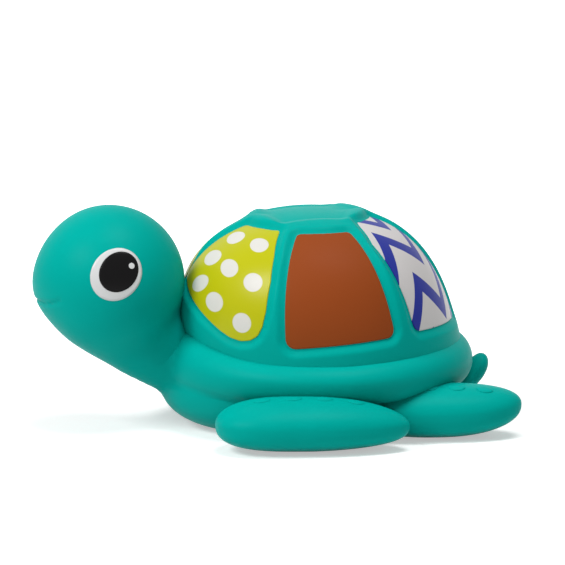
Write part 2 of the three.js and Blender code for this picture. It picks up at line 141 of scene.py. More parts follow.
# %% Node helpers
class Tree:
    """Nodes of a finish or of a geometry group, with short calls to add and join them."""

    def __init__(self, node_tree):
        self.nodes = node_tree.nodes
        self.links = node_tree.links

    def add(self, kind, **settings):
        node = self.nodes.new(kind)
        for key, value in settings.items():
            setattr(node, key, value)
        return node

    def join(self, source, target):
        self.links.new(source, target)

    def feed(self, socket, value):
        """Set a socket to a number or a colour, or join another node's output to it."""
        if isinstance(value, (int, float)):
            socket.default_value = value
        elif isinstance(value, tuple):
            socket.default_value = (*value, 1)
        else:
            self.join(value, socket)

    def math(self, operation, *values):
        node = self.add("ShaderNodeMath", operation=operation)
        for socket, value in zip(node.inputs, values):
            self.feed(socket, value)
        return node.outputs[0]

    def mix(self, factor, first, second):
        """Two colours mixed. Of this node's many sockets, inputs 6 and 7 and output 2 are colours."""
        node = self.add("ShaderNodeMix", data_type="RGBA")
        for index, value in zip((0, 6, 7), (factor, first, second)):
            self.feed(node.inputs[index], value)
        return node.outputs[2]


class Finish(Tree):
    """The nodes of a new material, with its shader at hand."""

    def __init__(self, name):
        self.material = bpy.data.materials.new(name)
        self.material.use_nodes = True
        super().__init__(self.material.node_tree)
        self.shader = self.nodes["Principled BSDF"]


# %% The skin of a casting
CLOUD_SCALE = 45
CLOUD_DETAIL = 3
GRAIN_SCALE = 900
GRAIN_DETAIL = 2
GRAIN_HEIGHT = 0.0002
SHINE_SPREAD = 0.05


def noise(tree, place, scale, detail):
    node = tree.add("ShaderNodeTexNoise")
    node.inputs["Scale"].default_value = scale
    node.inputs["Detail"].default_value = detail
    tree.join(place, node.inputs["Vector"])
    return node.outputs["Fac"]


def cast_skin(tree, colour, roughness, grain, tone):
    """Faint changes of tone and a fine moulded grain on a finish, from Object coordinates."""
    place = tree.add("ShaderNodeTexCoord").outputs["Object"]
    cloud = noise(tree, place, CLOUD_SCALE, CLOUD_DETAIL)
    shade = tree.math("MULTIPLY_ADD", cloud, 2 * tone, 1 - tone)
    toned = tree.add("ShaderNodeVectorMath", operation="SCALE")
    if isinstance(colour, tuple):
        toned.inputs[0].default_value = colour
    else:
        tree.join(colour, toned.inputs[0])
    tree.join(shade, toned.inputs["Scale"])
    tree.join(toned.outputs[0], tree.shader.inputs["Base Color"])
    fine = noise(tree, place, GRAIN_SCALE, GRAIN_DETAIL)
    rough = tree.math("MULTIPLY_ADD", fine, 2 * SHINE_SPREAD, roughness - SHINE_SPREAD)
    tree.join(rough, tree.shader.inputs["Roughness"])
    bump = tree.add("ShaderNodeBump")
    bump.inputs["Strength"].default_value = grain
    bump.inputs["Distance"].default_value = GRAIN_HEIGHT
    tree.join(fine, bump.inputs["Height"])
    tree.join(bump.outputs[0], tree.shader.inputs["Normal"])


# %% Colours
def linear(red, green, blue):
    """A colour as a screen shows it, from 0 to 255, in the linear values that a shader takes."""
    values = [channel / 255 for channel in (red, green, blue)]
    return tuple(v / 12.92 if v <= 0.04045 else ((v + 0.055) / 1.055) ** 2.4 for v in values)


TEAL = linear(0, 160, 150)
LIME = linear(178, 178, 8)
RUST = linear(140, 66, 27)
PANEL_WHITE = linear(208, 206, 200)
# The zigzag panels' white is the dots' white with painted shade: a little darker, because the rear
# panels face away from the key lamp.
ZIGZAG_WHITE_WITH_PAINTED_SHADE = linear(200, 197, 196)
ROYAL_BLUE = linear(38, 49, 142)
EYE_WHITE = linear(206, 207, 207)
EYE_BLACK = linear(10, 9, 10)


# %% Vinyl and ink
def vinyl(name, colour, roughness=0.42):
    """Cast vinyl: satin, a little grainy, with some light under its skin."""
    tree = Finish(name)
    cast_skin(tree, colour, roughness, grain=0.12, tone=0.04)
    tree.shader.inputs["IOR"].default_value = 1.2
    tree.shader.inputs["Specular IOR Level"].default_value = 0.1
    tree.shader.inputs["Subsurface Weight"].default_value = 0.12
    tree.shader.inputs["Subsurface Radius"].default_value = (0.3, 1.0, 0.9)
    tree.shader.inputs["Subsurface Scale"].default_value = 0.003
    return tree.material


def ink_skin(tree, colour, roughness, shine):
    """Printed ink: smoother than the vinyl, with a shine of its own."""
    cast_skin(tree, colour, roughness, grain=0.03, tone=0.02)
    tree.shader.inputs["Specular IOR Level"].default_value = shine
    return tree.material


def ink(name, colour, roughness=0.24, shine=0.25):
    return ink_skin(Finish(name), colour, roughness, shine)


teal_vinyl = vinyl("teal_vinyl", TEAL)
rust_ink = ink("rust_ink", RUST, roughness=0.5, shine=0.05)
eye_white_ink = ink("eye_white_ink", EYE_WHITE)
eye_black_ink = ink("eye_black_ink", EYE_BLACK, roughness=0.3, shine=0.1)
print("finishes:", teal_vinyl.name, rust_ink.name, eye_white_ink.name, eye_black_ink.name)

# %% [markdown]
# ## The shell
# The dome is a rounded box turned about the middle: a superellipse gives its full shoulders. It leans
# forwards a little, swells over the neck and is tucked in at the rear. Its six panels lie in shallow
# pockets between rounded ribs. The ribs could be swept one by one, but it is simpler to ask of every
# point how far it is from the edge of a panel, and to let the surface sink there.

# %% Dome
DOME_R = 43.5
DOME_FOOT_Z = 26.4
DOME_TOP_Z = 67.3
DOME_POWER = 2.45
DOME_LEAN = 2.0
DOME_BROW = 2.2
BROW_TO_ONE = 4
DOME_TUCK = 2.5
TUCK_TO_ONE = 3.16
TUCK_SKEW = 0.7


def dome_point(angle, z):
    """Points on the dome, from an angle round it and a height.
    The angle is 0 at the left side and rises to the front."""
    rise = np.clip((z - DOME_FOOT_Z) / (DOME_TOP_Z - DOME_FOOT_Z), 0, 1)
    radius = DOME_R * (1 - rise**DOME_POWER) ** (1 / DOME_POWER)
    front, rear = np.clip(np.sin(angle), 0, 1), np.clip(-np.sin(angle), 0, 1)
    brow = DOME_BROW * BROW_TO_ONE * rise * (1 - rise) * front**2
    tuck = DOME_TUCK * TUCK_TO_ONE * rise * (1 - rise) ** TUCK_SKEW * rear**2
    shift = DOME_LEAN * rise + brow + tuck
    return np.stack([-radius * np.sin(angle) - shift, -radius * np.cos(angle), z], -1)


def dome_outward(angle, z):
    """The way straight out of the dome at the same points."""
    rise = np.clip((z - DOME_FOOT_Z) / (DOME_TOP_Z - DOME_FOOT_Z), 0, 1)
    flat = (1 - rise**DOME_POWER) ** (1 - 1 / DOME_POWER)
    out = np.stack([-flat * np.sin(angle), -flat * np.cos(angle), rise ** (DOME_POWER - 1)], -1)
    return out / np.linalg.norm(out, axis=-1)[..., None]


# %% [markdown]
# The panel outlines are drawn on a flat chart of the dome, of the kind that sailors use. It is
# stretched towards the top just so much that small shapes keep their form and rounded corners stay
# round.

# %% A chart of the dome
CHART_STEPS = 1500
CHART_TOP_GAP = 0.3

CHART_Z = np.linspace(DOME_FOOT_Z, DOME_TOP_Z - CHART_TOP_GAP, CHART_STEPS)
side_radius = -dome_point(np.zeros_like(CHART_Z), CHART_Z)[:, 1]
side_steps = np.hypot(np.diff(side_radius), np.diff(CHART_Z))
SIDE_CLIMB = np.concatenate([[0], np.cumsum(side_steps)])
CHART_UP = np.concatenate([[0], np.cumsum(side_steps * DOME_R / side_radius[:-1])])
print("dome slope:", round(float(SIDE_CLIMB[-1]), 1), "mm")


def on_chart(angle, z):
    return np.stack([angle * DOME_R, np.interp(z, CHART_Z, CHART_UP)], -1)


def off_chart(flat):
    return flat[..., 0] / DOME_R, np.interp(flat[..., 1], CHART_UP, CHART_Z)


# %% Panel outlines
FRONT_PANEL = [
    (54.4, 33.8), (49.3, 32.1), (44.3, 31.4), (39.5, 31.9), (36, 33.5), (33.8, 36.4), (32.3, 41),
    (31.3, 50), (32.6, 57.1), (38.3, 63.8), (79, 63.8), (90, 47.4),
]
MIDDLE_PANEL = [(-22.9, 32.8), (-17.4, 63.5), (23.2, 63.2), (24, 29.8)]
REAR_PANEL = [(-83, 33.6), (-81, 65.3), (-36, 65.3), (-28.4, 60), (-34, 33.5)]
PANEL_CORNER_R = 2.8


def charted(corners):
    """Corners given as degrees and heights, on the chart."""
    degrees, heights = np.array(corners, float).T
    return on_chart(np.radians(degrees), heights)


# %% [markdown]
# An outline with rounded corners is a smaller outline with a ring of even width round it. So the
# distance from it is the distance from the smaller outline, less the corner's radius.


# %% Rounded outlines
def inner_outline(corners, radius):
    """The corners of an outline drawn in by a radius, and the way inwards from each side."""
    following = np.roll(corners, -1, 0)
    along = following - corners
    along /= np.linalg.norm(along, axis=1)[:, None]
    normal = np.stack([-along[:, 1], along[:, 0]], 1)
    normal *= np.sign(((corners.mean(0) - corners) * normal).sum(1))[:, None]
    moved = corners + normal * radius
    before, step = np.roll(moved, 1, 0), np.roll(along, 1, 0)
    cross = step[:, 0] * along[:, 1] - step[:, 1] * along[:, 0]
    gap = moved - before
    share = (gap[:, 0] * along[:, 1] - gap[:, 1] * along[:, 0]) / cross
    return before + step * share[:, None], normal


def edge_distance(points, corners, radius):
    """Distance from a convex outline with rounded corners: below zero inside it."""
    inner, normal = inner_outline(np.asarray(corners, float), radius)
    best = np.full(points.shape[:-1], np.inf)
    inside = np.ones(points.shape[:-1], bool)
    for start, end, inward in zip(inner, np.roll(inner, -1, 0), normal):
        offset = points - start
        side = end - start
        share = np.clip((offset @ side) / (side @ side), 0, 1)
        nearest = offset - share[..., None] * side
        best = np.minimum(best, np.linalg.norm(nearest, axis=-1))
        inside &= (offset @ inward) > 0
    return np.where(inside, -best, best) - radius


# %% Panel edges on the dome
OUTLINE_FARTHEST = 80.0
OUTLINE_HALVINGS = 40
EDGE_POINTS = 900


def panel_outline(corners, spokes):
    """A panel's middle on the chart, rays out of it, and how far each goes to the panel's edge."""
    outline = charted(corners)
    middle = outline.mean(0)
    turn = np.linspace(0, 2 * math.pi, spokes, endpoint=False)
    ray = np.stack([np.cos(turn), np.sin(turn)], -1)
    low, high = np.zeros(spokes), np.full(spokes, OUTLINE_FARTHEST)
    for _ in range(OUTLINE_HALVINGS):
        reach = (low + high) / 2
        outside = edge_distance(middle + ray * reach[:, None], outline, PANEL_CORNER_R) > 0
        high, low = np.where(outside, reach, high), np.where(outside, low, reach)
    return middle, ray, low


def panel_distance(skin, angle, z, corners):
    """Distance in space from the edge of a panel on the dome, below zero inside it."""
    middle, ray, reach = panel_outline(corners, EDGE_POINTS)
    edge = dome_point(*off_chart(middle + ray * reach[:, None]))
    finder = KDTree(len(edge))
    for index, point in enumerate(edge):
        finder.insert(point, index)
    finder.balance()
    distance = np.array([finder.find(point)[2] for point in skin.reshape(-1, 3)]).reshape(z.shape)
    inside = edge_distance(on_chart(angle, z), charted(corners), PANEL_CORNER_R) < 0
    return np.where(inside, -distance, distance)


# %% [markdown]
# The top of the dome is a hexagon. It lies a little lower than the ribs round it, and a low crest
# stands at its front and at its rear.

# %% Hexagon on top
HEX_PLAN = [(-20.5, 0), (-15, -14.3), (5.4, -14.3), (11.5, 0), (5.4, 14.3), (-15, 14.3)]
HEX_CORNER_R = 2.0
HEX_BELOW_TOP = 12
HEX_SUNK = 0.9
HEX_SHOULDER = 2.2
HEX_CREST = 0.9
HEX_CREST_WIDTH = 4
REAR_CREST_X = (2, 9)
FRONT_CREST_X = (13, 19)


def smooth(low, high, value):
    """0 below the first limit and 1 above the second, with a soft rise between them."""
    share = np.clip((value - low) / (high - low), 0, 1)
    return share * share * (3 - 2 * share)


def hexagon_sink(skin, z):
    """How deep the hexagon lies, with its crest below zero."""
    from_hex = edge_distance(skin[..., :2], HEX_PLAN, HEX_CORNER_R)
    hollow = HEX_SUNK * (1 - smooth(-HEX_SHOULDER, HEX_SHOULDER, from_hex))
    ends = smooth(*REAR_CREST_X, skin[..., 0]) + smooth(*FRONT_CREST_X, -skin[..., 0])
    crest = HEX_CREST * np.exp(-((from_hex / HEX_CREST_WIDTH) ** 2)) * ends
    return np.where(z > DOME_TOP_Z - HEX_BELOW_TOP, hollow - crest, 0)


# %% Shell skin with its ribs
PANEL_SUNK = 1.0
PANEL_GROOVE = 0.25
POCKET_DEPTH = 2.2
POCKET_WALL = 1.5
RIB_EDGE = 0.2
RIB_SHOULDER = 3.0
SHELL_COLUMNS = 520
SHELL_ROWS = 170
SHELL_TOP_SHARE = 0.995
FOOT_DROP = 7


def shell_grid():
    turn = np.linspace(0, 2 * math.pi, SHELL_COLUMNS, endpoint=False)
    climb = np.linspace(0.0, SHELL_TOP_SHARE, SHELL_ROWS) * math.pi / 2
    z = DOME_FOOT_Z + (DOME_TOP_Z - DOME_FOOT_Z) * np.sin(climb) ** (2 / DOME_POWER)
    turn, z = np.meshgrid(turn, z)
    skin = dome_point(turn, z)
    angle = np.arctan2(np.sin(turn), np.abs(np.cos(turn)))
    away = np.full(z.shape, np.inf)
    folded = skin * (1, 0, 1) - np.abs(skin) * (0, 1, 0)
    for corners in (FRONT_PANEL, MIDDLE_PANEL, REAR_PANEL):
        away = np.minimum(away, panel_distance(folded, angle, z, corners))
    groove = PANEL_SUNK + PANEL_GROOVE
    sink = groove * (1 - smooth(RIB_EDGE, RIB_SHOULDER, away))
    sink = sink + (POCKET_DEPTH - groove) * (1 - smooth(-POCKET_WALL, 0, away))
    sink = sink + hexagon_sink(skin, z)
    skin = skin - dome_outward(turn, z) * sink[..., None]
    foot = np.stack([skin[0] - (0, 0, drop) for drop in range(FOOT_DROP, 0, -1)])
    return np.concatenate([foot, skin])


points, faces = closed_skin(shell_grid())
make_piece("shell", points, turned_over(faces), teal_vinyl, "shell", ["carapace"], "teal_vinyl")

# %% [markdown]
# ## The printed panels
# Each panel is a thin inset that follows the dome. Its outline is found by walking out from its middle
# until the rounded edge is met, and its rows are that outline drawn in step by step. The flat map of
# each panel holds true millimetres, so that a print keeps its size on the curved surface.

# %% Panel skins
PANEL_SPOKES = 180
PANEL_RINGS = 26
PANEL_LAST_RING = 0.985
PANEL_LIP = 0.1
PANEL_ROUND = 0.12
PANEL_FLOOR_GAP = 0.2


def panel_skin(corners):
    """Rings of points from a panel's middle to its edge and down its side, and their chart places."""
    middle, ray, reach = panel_outline(corners, PANEL_SPOKES)
    shares = [*np.linspace(1 / PANEL_RINGS, 1, PANEL_RINGS)[:-1], PANEL_LAST_RING, 1.0]
    rings = [(reach * share, PANEL_SUNK) for share in shares]
    side = reach + PANEL_LIP
    rings += [(side, PANEL_SUNK + PANEL_ROUND), (side, POCKET_DEPTH - PANEL_FLOOR_GAP)]
    rows, flat = [], []
    for out, sunk in rings:
        flat.append(middle + ray * out[:, None])
        angle, z = off_chart(flat[-1])
        rows.append(dome_point(angle, z) - dome_outward(angle, z) * sunk)
    points, faces = closed_skin(np.array(rows))
    return points, turned_over(faces), np.vstack([*flat, middle, middle])


def print_map(points, flat, centre_degrees, pad_degrees=None):
    """Where a print falls, in millimetres: along the level lines from a meridian, and up the slope.
    With a pad's direction, the first is measured straight across the pad instead."""
    angle, z = off_chart(flat)
    across = (angle - math.radians(centre_degrees)) * np.interp(z, CHART_Z, side_radius)
    if pad_degrees is not None:
        pad = math.radians(pad_degrees)
        across = points[:, 0] * math.cos(pad) - points[:, 1] * math.sin(pad)
    return np.stack([across, np.interp(z, CHART_Z, SIDE_CLIMB)], -1)


# %% [markdown]
# ## Prints
# The front panels carry white dots on lime, and the rear panels blue zigzags on white. Both could be
# painted pictures, but a rule in the nodes stays sharp at any size. It takes a place on the flat map,
# works out how far that is from the edge of the print, and blurs the edge a little.

# %% Print helpers
PRINT_BLUR = 0.12


def print_place(tree):
    """How far a point is along the panel and up its slope, in millimetres."""
    place = tree.add("ShaderNodeUVMap", uv_map="print")
    split = tree.add("ShaderNodeSeparateXYZ")
    tree.join(place.outputs[0], split.inputs[0])
    return split.outputs[0], split.outputs[1]


def soft_edge(tree, distance, blur):
    """1 where a distance is below zero and 0 above it, with a thin blurred edge."""
    edge = tree.math("MULTIPLY_ADD", distance, -0.5 / blur, 0.5)
    return tree.math("MINIMUM", tree.math("MAXIMUM", edge, 0.0), 1.0)


# %% [markdown]
# There are only a few dots, and they don't lie on a strict grid, so they are placed one by one. Those
# by the front edge are drawn out to ovals, as a print is where the surface turns away from the pad.

# %% Lime with dots
DOTS = [
    (-23.2, 39.5), (-14.4, 37.9), (-29.8, 30.2), (-23.1, 27.8),
    (-33.1, 21.0), (-14.6, 23.9), (-27.3, 16.1), (-17.6, 10.7),
]
DOT_R = 3.1
DOT_LEAN = math.radians(42)
OVAL_FROM = 36
OVAL_FULL = 39
OVAL_LONGER = 0.18
OVAL_SLIMMER = 0.3


def dotted_ink():
    tree = Finish("lime_ink_with_dots")
    across, climb = print_place(tree)
    nearest = None
    cosine, sine = math.cos(DOT_LEAN), math.sin(DOT_LEAN)
    for dot_across, dot_climb in DOTS:
        oval = smooth(OVAL_FROM, OVAL_FULL, dot_climb * sine - dot_across * cosine)
        sideways = tree.math("SUBTRACT", across, dot_across)
        upward = tree.math("SUBTRACT", climb, dot_climb)
        along = tree.math("MULTIPLY_ADD", sideways, cosine, tree.math("MULTIPLY", upward, sine))
        over = tree.math("MULTIPLY_ADD", upward, cosine, tree.math("MULTIPLY", sideways, -sine))
        along = tree.math("DIVIDE", along, float(1 + OVAL_LONGER * oval))
        over = tree.math("DIVIDE", over, float(1 - OVAL_SLIMMER * oval))
        squared = tree.math("MULTIPLY_ADD", along, along, tree.math("MULTIPLY", over, over))
        nearest = squared if nearest is None else tree.math("MINIMUM", nearest, squared)
    distance = tree.math("SUBTRACT", tree.math("SQRT", nearest), DOT_R)
    colour = tree.mix(soft_edge(tree, distance, PRINT_BLUR), LIME, PANEL_WHITE)
    return ink_skin(tree, colour, roughness=0.3, shine=0.15)


# %% [markdown]
# The zigzag is a wave with one gentle slope between two steep ones. The bands repeat above each other,
# so a point's height over the wave is folded to its distance from the nearest band. Towards the rear
# the upper bands sag a little.

# %% White with zigzags
ZIGZAG_VALLEY_AT = (-1.65, 11.4)
ZIGZAG_PEAK_AT = (9.95, 22.1)
ZIGZAG_STEEP = 1.5
ZIGZAG_PITCH = 18.1
ZIGZAG_BAND = 6.9
ZIGZAG_SAG = 0.0245
SAG_ABOVE = 33


def zigzag_wave(tree, across):
    """The height of the wave over its valley."""
    valley, base = ZIGZAG_VALLEY_AT
    peak, top = ZIGZAG_PEAK_AT
    slope = (top - base) / (peak - valley)
    gentle = tree.math("MULTIPLY", tree.math("SUBTRACT", across, valley), slope)
    to_peak = tree.math("SUBTRACT", peak, across)
    after = tree.math("MULTIPLY_ADD", to_peak, ZIGZAG_STEEP, top - base)
    before = tree.math("MULTIPLY", tree.math("SUBTRACT", valley, across), ZIGZAG_STEEP)
    return tree.math("MAXIMUM", tree.math("MINIMUM", gentle, after), before)


def zigzag_ink():
    tree = Finish("white_ink_with_zigzags")
    across, climb = print_place(tree)
    high = tree.math("MAXIMUM", tree.math("SUBTRACT", climb, SAG_ABOVE), 0.0)
    behind = tree.math("MAXIMUM", tree.math("SUBTRACT", ZIGZAG_PEAK_AT[0], across), 0.0)
    sag = tree.math("MULTIPLY", tree.math("MULTIPLY", high, behind), ZIGZAG_SAG)
    height = tree.math("ADD", tree.math("SUBTRACT", climb, ZIGZAG_VALLEY_AT[1]), sag)
    level = tree.math("SUBTRACT", height, zigzag_wave(tree, across))
    from_band = tree.math("PINGPONG", level, ZIGZAG_PITCH / 2)
    distance = tree.math("SUBTRACT", from_band, ZIGZAG_BAND / 2)
    # The white between the zigzags is the darker copy, with painted shade.
    colour = tree.mix(soft_edge(tree, distance, PRINT_BLUR), ZIGZAG_WHITE_WITH_PAINTED_SHADE, ROYAL_BLUE)
    return ink_skin(tree, colour, roughness=0.35, shine=0.08)


# %% The six panels
PAD_DEGREES = 20
panels = [
    ("front", FRONT_PANEL, 60, PAD_DEGREES, dotted_ink(), "lime_print"),
    ("middle", MIDDLE_PANEL, 0, None, rust_ink, "rust_print"),
    ("rear", REAR_PANEL, -60, None, zigzag_ink(), "zigzag_print"),
]
for place, corners, centre, pad, material, slot in panels:
    points, faces, flat = panel_skin(corners)
    flat_map = print_map(points, flat, centre, pad)
    make_pair(f"panel_{place}", "_print", points, faces, material, "shell", slot, flat_map)

# %% [markdown]
# ## The head
# The head is a ball that runs into a round neck. It could be modelled with a subdivision cage, but the
# printed eyes and the mouth need a surface that can be asked for its place. Here a rule tells how far a
# point is from the ball and from a rounded cone, and where the two meet, it adds a fillet.

# %% Ball and neck
HEAD_R = 23.35
HEAD_AT = np.array([-66.4, 0, 46.1])
NECK_TOP = np.array([-70.1, 0, 39.8])
NECK_TOP_R = 16.5
NECK_ROOT = np.array([-46.6, 0, 21.4])
NECK_ROOT_R = 11.0
NECK_LENGTH = np.linalg.norm(NECK_ROOT - NECK_TOP)
NECK_BLEND = 3.0


def along_neck(points):
    """How far points are down the neck, from its top."""
    return (points - NECK_TOP) @ (NECK_ROOT - NECK_TOP) / NECK_LENGTH


def neck_distance(points):
    """Distance from the neck: a cone between a large ball at its top and a small one at its root."""
    along = along_neck(points)
    off = np.sqrt(np.maximum(((points - NECK_TOP) ** 2).sum(-1) - along**2, 0))
    lean = (NECK_TOP_R - NECK_ROOT_R) / NECK_LENGTH
    upright = math.sqrt(1 - lean * lean)
    down_side = -lean * off + upright * along
    top = np.hypot(off, along) - NECK_TOP_R
    root = np.hypot(off, along - NECK_LENGTH) - NECK_ROOT_R
    side = upright * off + lean * along - NECK_TOP_R
    return np.where(down_side < 0, top, np.where(down_side > upright * NECK_LENGTH, root, side))


def soft_union(first, second, blend):
    """Distance from two joined forms, with a fillet where they meet."""
    mixed = np.clip(0.5 + 0.5 * (second - first) / blend, 0, 1)
    return second * (1 - mixed) + first * mixed - blend * mixed * (1 - mixed)


def head_distance(points):
    ball = np.linalg.norm(points - HEAD_AT, axis=-1) - HEAD_R
    return soft_union(ball, neck_distance(points), NECK_BLEND)


print("neck length:", round(float(NECK_LENGTH), 1), "mm")

# %% [markdown]
# The mouth is a thin groove that turns up at its corners. A few points give half of it, and the other
# half is their mirror image. The line is rounded and then laid on a ball, so that the distance from it
# is simply an angle.

# %% Mouth
MOUTH = [(-18.0, 15.9, -3.4), (-20.4, 12, -5.0), (-22.6, 6.5, -5.7), (-23.6, 0, -5.4)]
MOUTH_DEPTH = 0.8
MOUTH_HALF_WIDTH = 0.5
MOUTH_POINTS = 120
MOUTH_ROUNDINGS = 12


def mouth_line():
    """The mouth as close points on a ball round the head's middle, from corner to corner."""
    half = np.array(MOUTH)
    whole = np.vstack([half * (1, -1, 1), half[-2::-1]])
    knots = np.arange(len(whole))
    fine = np.linspace(0, len(whole) - 1, MOUTH_POINTS)
    line = np.stack([np.interp(fine, knots, whole[:, axis]) for axis in range(3)], -1)
    for _ in range(MOUTH_ROUNDINGS):
        line[1:-1] = (line[:-2] + 2 * line[1:-1] + line[2:]) / 4
    return line / np.linalg.norm(line, axis=1)[:, None]


MOUTH_LINE = mouth_line()
print("mouth:", len(MOUTH_LINE), "points")

# %% [markdown]
# Seen from the middle of the ball, every direction meets the surface once. So a fine ball of triangles
# is pushed out until it meets the rule's surface. The jaw and the forehead are then tucked in a little,
# the nose is swollen, and the mouth is pressed in.

# %% Head skin
JAW_TUCK = 2.2
JAW_WAY = (-0.66, 0, -0.75)
JAW_FOCUS = 6
FOREHEAD_TUCK = 0.45
FOREHEAD_WAY = (-0.75, 0, 0.66)
FOREHEAD_FOCUS = 8
NOSE_BULGE = 0.65
NOSE_WAY = (-0.985, 0, -0.17)
NOSE_FOCUS = 16
WALK_FROM = 12
WALK_TO = 60
WALK_STEP = 0.5
WALK_HALVINGS = 14
BALL_FINENESS = 6


def towards(directions, way, focus):
    """1 for directions that go one way, fading to 0 to all sides of it."""
    return np.clip(directions @ np.array(way), 0, 1) ** focus


def head_radius(directions):
    """How far the head's surface is from its middle, in each direction."""
    low = np.full(len(directions), float(WALK_FROM))
    for trial in np.arange(WALK_FROM, WALK_TO, WALK_STEP):
        low = np.where(head_distance(HEAD_AT + directions * trial) < 0, trial, low)
    high = low + WALK_STEP
    for _ in range(WALK_HALVINGS):
        reach = (low + high) / 2
        outside = head_distance(HEAD_AT + directions * reach[:, None]) > 0
        high, low = np.where(outside, reach, high), np.where(outside, low, reach)
    tuck = JAW_TUCK * towards(directions, JAW_WAY, JAW_FOCUS)
    tuck += FOREHEAD_TUCK * towards(directions, FOREHEAD_WAY, FOREHEAD_FOCUS)
    nose = NOSE_BULGE * towards(directions, NOSE_WAY, NOSE_FOCUS)
    from_mouth = HEAD_R * np.arccos(np.clip((directions @ MOUTH_LINE.T).max(1), -1, 1))
    groove = MOUTH_DEPTH * np.exp(-((from_mouth / MOUTH_HALF_WIDTH) ** 2))
    return low + nose - tuck - groove


def head_skin():
    ball = bmesh.new()
    bmesh.ops.create_icosphere(ball, subdivisions=BALL_FINENESS, radius=1)
    directions = np.array([vertex.co for vertex in ball.verts])
    directions /= np.linalg.norm(directions, axis=1)[:, None]
    faces = [tuple(vertex.index for vertex in face.verts) for face in ball.faces]
    ball.free()
    return HEAD_AT + directions * head_radius(directions)[:, None], faces


points, faces = head_skin()
make_piece("head_and_neck", points, faces, teal_vinyl, "head", ["head"], "teal_vinyl")

# %% [markdown]
# ## The belly and its rim
# The belly is a turned bowl with a flat foot, drawn out at the front into a chest, and the rim is a fat
# roll on top of it. A spun profile would give a round toy only, so one profile holds the bowl and the
# roll, and rules that depend on the heading stretch the bowl forwards and lift the rim.

# %% Bowl with a chest
BELLY_FLAT_R = 25.0
BELLY_R = 39.0
BELLY_TOP_Z = 12.6
CHEST_REACH = 11.4
CHEST_NARROWING = 3
CHEST_CROWN = 9.0


def bowl_radius(z, front):
    """The bowl with its chest: how far it is from the axis at a height, towards a heading."""
    below, above = BELLY_TOP_Z - z, z - BELLY_TOP_Z
    drop = np.where(z < BELLY_TOP_Z, below / BELLY_TOP_Z, above / CHEST_CROWN)
    full = np.sqrt(np.clip(1 - drop**2, 0, 1))
    radius = BELLY_FLAT_R + (BELLY_R - BELLY_FLAT_R) * full
    crown = np.where(z < BELLY_TOP_Z, 1, full)
    return radius + CHEST_REACH * np.minimum(1, radius / BELLY_R) * front**CHEST_NARROWING * crown


# %% [markdown]
# Where the neck goes in, the chest rises to a thin soft collar round it. Every point of the belly looks
# outwards along its own heading, and moves out to the neck's sleeve where that lies farther off.

# %% Collar
RIM_Z = 19.8
COLLAR_SKIN = 0.12
COLLAR_SUNK = -0.5
COLLAR_FROM = 12.0
COLLAR_FULL = 22.0
COLLAR_BLEND = 2.5
COLLAR_LOW_Z = (4, 9)
COLLAR_HIGH_Z = (RIM_Z + 0.5, RIM_Z + 7.2)
COLLAR_WALK = (20, 66, 0.2)


def with_collar(wall, turn, z):
    """The belly's points, pushed outwards to a thin collar where the neck goes in."""
    ray = np.stack([-np.cos(turn), -np.sin(turn), 0 * turn], -1)
    axis = np.stack([0 * z, 0 * z, z], -1)
    reach = np.zeros(z.shape)
    for trial in np.arange(*COLLAR_WALK):
        point = axis + ray * trial
        along = along_neck(point)
        sleeve = COLLAR_SUNK + (COLLAR_SKIN - COLLAR_SUNK) * smooth(COLLAR_FROM, COLLAR_FULL, along)
        neck = np.maximum(neck_distance(point) - sleeve, COLLAR_FROM - along)
        reach = np.where(soft_union(neck, trial - wall, COLLAR_BLEND) < 0, trial, reach)
    share = smooth(*COLLAR_LOW_Z, z) * (1 - smooth(*COLLAR_HIGH_Z, z))
    radius = wall + np.maximum(reach - wall, 0) * share
    return np.stack([-radius * np.cos(turn), -radius * np.sin(turn), z], -1)


# %% Rim and belly skin
RIM_R = 48.0
RIM_ROLL = 7.4
RIM_HALF_HEIGHT = 7.6
RIM_FILLET = 2.0
RIM_FRONT_REACH = 1.8
RIM_REACH_NARROWING = 4
RIM_REAR_TUCK = 0.8
RIM_TUCK_NARROWING = 2
RIM_SIDE_LIFT = -0.3
RIM_FRONT_LIFT = 0.55
FRONT_LIFT_NARROWING = 5
RIM_REAR_LIFT = 0.08
REAR_LIFT_NARROWING = 1.2
FOOT_MIDDLE_R = 2
FOOT_ROWS = 11
BELLY_COLUMNS = 360


def arc(centre, half, start, end, steps):
    """Points on part of an oval, from one angle to another in degrees."""
    angle = np.radians(np.linspace(start, end, steps))
    return np.stack([centre[0] + half[0] * np.cos(angle), centre[1] + half[1] * np.sin(angle)], -1)


